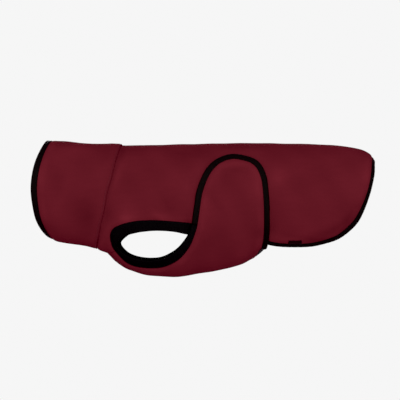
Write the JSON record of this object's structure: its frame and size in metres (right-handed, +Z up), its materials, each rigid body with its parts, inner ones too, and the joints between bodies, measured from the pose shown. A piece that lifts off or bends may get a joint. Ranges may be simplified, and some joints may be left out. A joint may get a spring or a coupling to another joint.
{
  "type": "high-neck dog coat, filled out as worn",
  "caption": "Hollow fleece coat for a dog: high neck tube, back panel to the tail, belly panel with wings lapped over the flanks, banded leg openings and bound edges.",
  "frame": {"origin": "inner face of the back panel on the spine line above the chest, where the wearer's back carries the coat", "axes": "+X from the neck to the tail, +Y to the wearer's right side, +Z up; the wearer's left side faces -Y"},
  "size_m": [0.5956, 0.155, 0.241],
  "materials": {
    "fleece": "matte burgundy fleece with a soft brushed nap",
    "tape": "black folded elastic tape, slight sheen",
    "knit": "black knitted elastic, matte, fine ribs",
    "tab": "reddish black woven tab, bare"
  },
  "bodies": {
    "root": {"neck_tube": "fleece", "neck_binding": "tape", "back_panel": "fleece", "belly_panel": "fleece", "hem_binding": "tape", "belly_binding": "tape", "armhole_band_left": "knit", "armhole_band_right": "knit", "hem_tab": "tab"}
  },
  "joints": []
}
